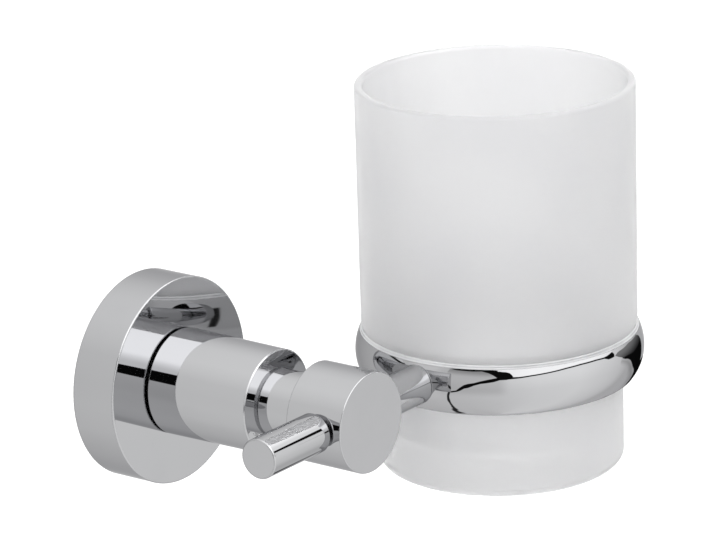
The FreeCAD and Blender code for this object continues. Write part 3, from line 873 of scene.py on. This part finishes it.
# Then patch, cards and dark slits: (azimuth, lowest, highest elevation) rows, and border softness
tentBands = {
    "leftPatch": [(-98, 20, 20), (-97, 8, 27), (-91, 8, 27), (-80, 8, 28), (-70, 9, 31),
                  (-64, 10, 27), (-60, 13, 22), (-57, 14, 18), (-56, 16, 16)],
    "lens": [(-57.6, 18, 18), (-56, 8, 28), (-54, 8.3, 27), (-50, 8.5, 26), (-47, 10, 23.5),
             (-45.5, 12, 19), (-44.6, 15, 15)],
    "slitRight": [(-48.5, 12, 12), (-48, 9.5, 14.5), (-40, 10.5, 13.7), (-30, 12.5, 15.3),
                  (-15, 14, 16.6), (0, 15.3, 17.9), (13, 14.5, 17.2), (28, 11.5, 14),
                  (36, 8.5, 11), (40, 4, 10.5), (44, 3.2, 11), (47, 3, 11.5), (47.7, 7, 7)],
    "slitLeft": [(-99, -24, -24), (-95, -25, -21.5), (-90, -22, -18.5), (-87, -19, -12.5),
                 (-83, -13, -5), (-80, -11, -2), (-75, -5, 1), (-70, -0.5, 5.5), (-65, 1.5, 9),
                 (-60, 4, 12), (-56, 7.5, 14), (-52, 12, 12)],
    "slitTop": [(-97, 30, 30), (-95.5, 26.5, 32), (-91, 25.5, 32), (-84, 26, 33), (-78, 26, 34),
                (-70, 27.5, 35), (-64, 23.5, 33), (-60, 18.5, 32), (-57, 12.5, 29),
                (-55, 14, 24), (-53, 18, 18)],
    "lowArc": [(-176, -73, -73), (-170, -75.5, -71.5), (-160, -75.5, -71.5),
               (-145, -72.3, -69.3), (-134, -70.7, -67.3), (-126, -68.8, -65.3),
               (-116, -62.5, -59.5), (-110, -56.5, -53), (-106, -50.5, -45), (-103, -45, -39),
               (-99, -34, -28), (-96.5, -27, -21), (-95.5, -22, -22)],
    "card": [(47.7, 3, 3), (48.6, 2.5, 4), (52, -1.5, 5.5), (55, -4, 5.5), (60, -9, 4.5),
             (65, -11.5, 4), (70, -15, 3.5), (75, -19, 1.5), (80, -22, 0), (86, -24.5, -2),
             (91, -26.3, -6), (95, -27, -11), (98, -27.8, -18), (101, -28.5, -22),
             (110, -29.7, -20.5), (117, -28.5, -20.5), (120, -24, -24)],
    "cardCore": [(56, -6, -6), (60, -9, -6.5), (65, -11.5, -7.5), (70, -15, -9),
                 (75, -19.5, -10), (80, -23, -10), (85, -25, -10), (91, -26.3, -10),
                 (95, -27, -13), (98, -27.8, -18), (101, -28.5, -22), (110, -29.7, -20.5),
                 (117, -28.5, -20.5), (120, -24, -24)],
    "cardShade": [(54, -10, -10), (56, -11, -8), (66, -17, -14), (76, -26, -20), (86, -30, -26),
                  (96, -32, -28), (106, -30, -28), (112, -28, -28)],
    "cardSpot": [(49.3, 17, 17), (49.8, 13.5, 20.5), (52.3, 14.5, 21.5), (54, 19, 23),
                 (54.8, 21.5, 21.5)],
    "lowLine": [(95, -42, -42), (96, -42.9, -41.3), (100, -42.9, -41.3), (108, -40.7, -39.2),
                (114, -37.5, -37.5)],
}
softness = {"leftPatch": 3, "cardShade": 9, "lowArc": 1.6, "lowLine": 1.6}     # 1 for the others


# World: camera and transmitted rays see plain white, diffuse rays a plain level, and mirrored rays
# the tent. The ray's direction gives azimuth and elevation; a band is where the elevation lies
# between two curves of the azimuth.
def buildWorld(d, t, bands):
    world = bpy.data.worlds.new("softStudio")
    bpy.context.scene.world = world
    world.use_nodes = True
    tree = world.node_tree
    tree.nodes.clear()
    direction = put(tree, "ShaderNodeTexCoord").outputs["Generated"]
    ray = put(tree, "ShaderNodeSeparateXYZ", {"Vector": direction}).outputs
    toRoom = times(tree, ray["Y"], -1.0)
    azimuth = times(tree, calc(tree, "ARCTAN2", ray["X"], toRoom), 180 / math.pi)
    elevation = times(tree, calc(tree, "ARCSINE", ray["Z"]), 180 / math.pi)
    levels, angles = (0, 3), (-90, 90)             # what the curves can give

    # straight-legged curve through (input, output) points, level beyond both ends
    def graph(value, points, low, high):
        start, end = points[0][0] - 1, points[-1][0] + 1
        share = calc(tree, "DIVIDE", calc(tree, "SUBTRACT", value, start), end - start)
        node = put(tree, "ShaderNodeFloatCurve", {"Value": share})
        line = node.mapping.curves[0]
        rows = [(start, points[0][1]), *points, (end, points[-1][1])]
        spots = [((x - start) / (end - start), (y - low) / (high - low)) for x, y in rows]
        line.points[0].location, line.points[1].location = spots[0], spots[-1]
        for spot in spots[1:-1]:
            line.points.new(*spot)
        for point in line.points:
            point.handle_type = "VECTOR"
        node.mapping.update()
        return calc(tree, "ADD", times(tree, node.outputs[0], high - low), low)

    def levelOver(value, name):
        return graph(value, t[name], *levels)

    def band(name):
        low, high = (graph(azimuth, [(row[0], row[k]) for row in bands[name]], *angles)
                     for k in (1, 2))
        middle = times(tree, calc(tree, "ADD", low, high), 0.5)
        half = times(tree, calc(tree, "SUBTRACT", high, low), 0.5)
        away = calc(tree, "ABSOLUTE", calc(tree, "SUBTRACT", elevation, middle))
        away = calc(tree, "SUBTRACT", away, half)
        border = softness.get(name, 1.0) * 0.5
        there = calc(tree, "GREATER_THAN", half, 0.15)     # closed ends leave no hair line
        return times(tree, ease(tree, away, border, -border), there)

    def window(value, low, high, soft):
        return times(tree, ease(tree, value, low - soft, low + soft),
                     ease(tree, value, high + soft, high - soft))

    def over(factor, below, above):                # level under a mask, as blendOf for plain numbers
        return blendOf(tree, factor, below, above, "FLOAT")

    # plain parts: dimmer on the left and behind, white sheet and bright overhead in front
    level = times(tree, levelOver(azimuth, "around"), levelOver(elevation, "rise"))
    leftSide = times(tree, window(azimuth, *t["leftAzimuth"]),
                     window(elevation, *t["leftElevation"]))
    level = times(tree, level, over(leftSide, 1.0, t["leftDim"]))
    aboveEdge = calc(tree, "SUBTRACT", elevation, graph(azimuth, t["sheetEdge"], *angles))
    sheet = times(tree, window(azimuth, *t["sheetAzimuth"]), ease(tree, aboveEdge, *t["sheetBorder"]))
    sheetLevel = times(tree, levelOver(azimuth, "sheetLevel"), ease(tree, elevation, *t["sheetDim"]))
    level = over(sheet, level, sheetLevel)
    level = over(ease(tree, elevation, *t["top"]), level, t["topLevel"])
    overhead = times(tree, window(elevation, *t["overElevation"]),
                     ease(tree, azimuth, *t["overAzimuth"]))
    level = over(overhead, level, ease(tree, azimuth, *t["overLevel"]))
    behind = times(tree, levelOver(elevation, "behind"), ease(tree, ray["Y"], *t["behindDim"]))
    level = over(ease(tree, ray["Y"], *t["behindFrom"]), level, behind)

    # patch, cards and slits over it
    level = over(band("leftPatch"), level, ease(tree, elevation, *t["patchLevel"]))
    level = over(band("cardShade"), level, times(tree, level, t["shadeDim"]))
    level = over(band("card"), level, ease(tree, elevation, *t["cardLevel"]))
    for name in ("slitRight", "slitLeft", "slitTop", "lens", "cardCore", "cardSpot"):
        level = over(band(name), level, t["black"])
    for name in ("lowArc", "lowLine"):
        level = over(band(name), level, t["dark"])
    backSlit = times(tree, window(azimuth, *t["backAzimuth"]), window(elevation, *t["backElevation"]))
    level = over(backSlit, level, t["dark"])

    path = put(tree, "ShaderNodeLightPath").outputs
    value = over(path["Is Glossy Ray"], d["plainLevel"], level)
    value = over(path["Is Transmission Ray"], value, 1.0)
    value = over(path["Is Camera Ray"], value, 1.0)
    sky = put(tree, "ShaderNodeBackground", {"Color": (1, 1, 1, 1), "Strength": value})
    put(tree, "ShaderNodeOutputWorld", {"Surface": sky.outputs[0]})


buildWorld(studio, tentParts, tentBands)
print("studio lit")
